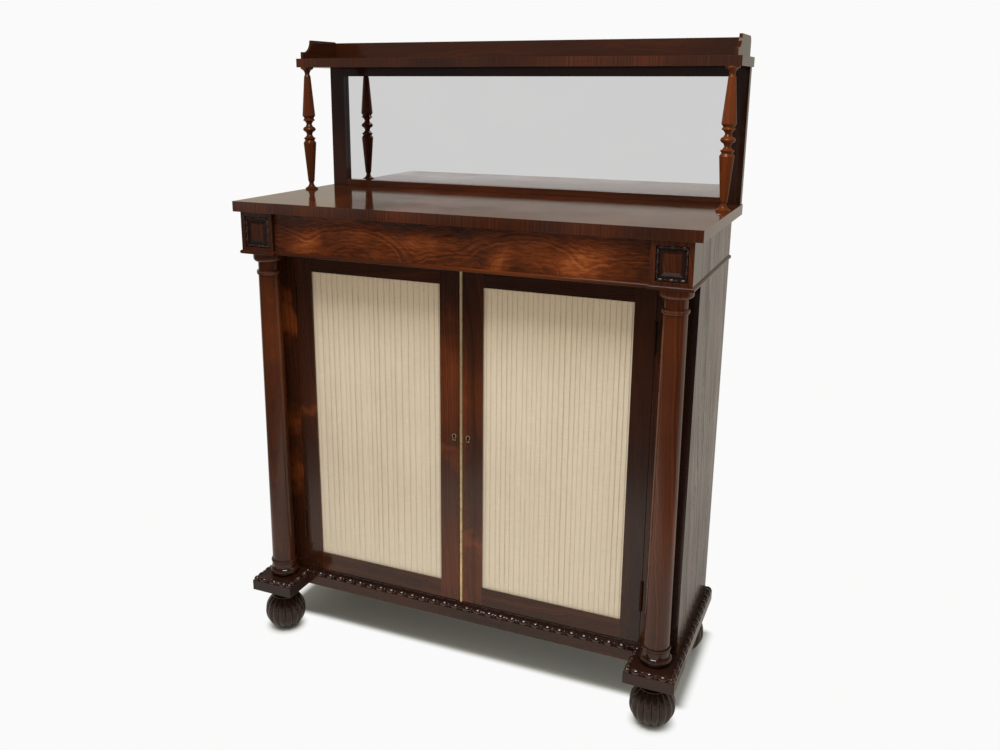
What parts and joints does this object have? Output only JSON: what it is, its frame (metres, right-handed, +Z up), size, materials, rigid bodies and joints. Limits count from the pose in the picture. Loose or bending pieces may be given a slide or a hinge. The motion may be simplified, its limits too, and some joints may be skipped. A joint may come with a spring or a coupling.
{
  "type": "chiffonier",
  "caption": "Low two-door cupboard with silk door panels between turned columns, on reeded bun feet, with a mirrored back and a galleried shelf above.",
  "frame": {"origin": "on the floor under the middle of the overall box", "axes": "+X to the cabinet's right as seen from the front, +Y to the back, +Z up"},
  "size_m": [0.934, 0.4022, 1.2688],
  "materials": {
    "rosewood": "dark rosewood, french polished",
    "figured_rosewood": "streaked rosewood veneer, french polished",
    "carcase_wood": "plain stained boards",
    "silk": "cream silk, gathered in upright pleats",
    "mirror_glass": "silvered plate",
    "polished_brass": "polished",
    "dull_brass": "dull"
  },
  "bodies": {
    "carcase": {"back_boards": "carcase_wood", "base_board": "carcase_wood", "carcase_hinge_leaves": "dull_brass", "ceiling_board": "carcase_wood", "column_left": "figured_rosewood", "column_right": "figured_rosewood", "corner_block_left": "figured_rosewood", "corner_block_right": "figured_rosewood", "foot_front_left": "rosewood", "foot_front_right": "rosewood", "foot_rear_left": "rosewood", "foot_rear_right": "rosewood", "frieze_board": "figured_rosewood", "frieze_moulding": "rosewood", "gallery_back": "rosewood", "gallery_side_left": "rosewood", "gallery_side_right": "rosewood", "interior_shelf": "carcase_wood", "mirror_backboard": "carcase_wood", "mirror_bottom_rail": "rosewood", "mirror_plate": "mirror_glass", "mirror_stile_left": "rosewood", "mirror_stile_right": "rosewood", "mirror_top_rail": "rosewood", "pilaster_left": "rosewood", "pilaster_right": "rosewood", "plinth_back_rail": "carcase_wood", "plinth_bead_moulding": "rosewood", "plinth_block_left": "rosewood", "plinth_block_right": "rosewood", "plinth_front_rail": "rosewood", "plinth_side_rail_left": "rosewood", "plinth_side_rail_right": "rosewood", "rear_foot_blocks": "carcase_wood", "shelf_bearers": "carcase_wood", "side_panel_left": "rosewood", "side_panel_right": "rosewood", "spindle_left": "rosewood", "spindle_right": "rosewood", "top_slab": "figured_rosewood", "upper_shelf": "figured_rosewood"},
    "left_door": {"left_bottom_rail": "rosewood", "left_escutcheon": "polished_brass", "left_hinge_leaves": "dull_brass", "left_hinge_stile": "rosewood", "left_lock": "dull_brass", "left_meeting_stile": "rosewood", "left_silk_fillets": "rosewood", "left_silk_panel": "silk", "left_top_rail": "rosewood"},
    "right_door": {"right_bottom_rail": "rosewood", "right_escutcheon": "polished_brass", "right_hinge_leaves": "dull_brass", "right_hinge_stile": "rosewood", "right_lock": "dull_brass", "right_meeting_stile": "rosewood", "right_silk_fillets": "rosewood", "right_silk_panel": "silk", "right_top_rail": "rosewood", "brass_astragal": "polished_brass"}
  },
  "joints": [
    {"name": "left_door_hinge", "type": "hinge", "parent": "carcase", "child": "left_door", "pos_m": [-0.3775, -0.1194, 0.4922], "axis": [0, 0, -1], "range_deg": [0, 100]},
    {"name": "right_door_hinge", "type": "hinge", "parent": "carcase", "child": "right_door", "pos_m": [0.3775, -0.1194, 0.4922], "axis": [0, 0, 1], "range_deg": [0, 100]}
  ]
}
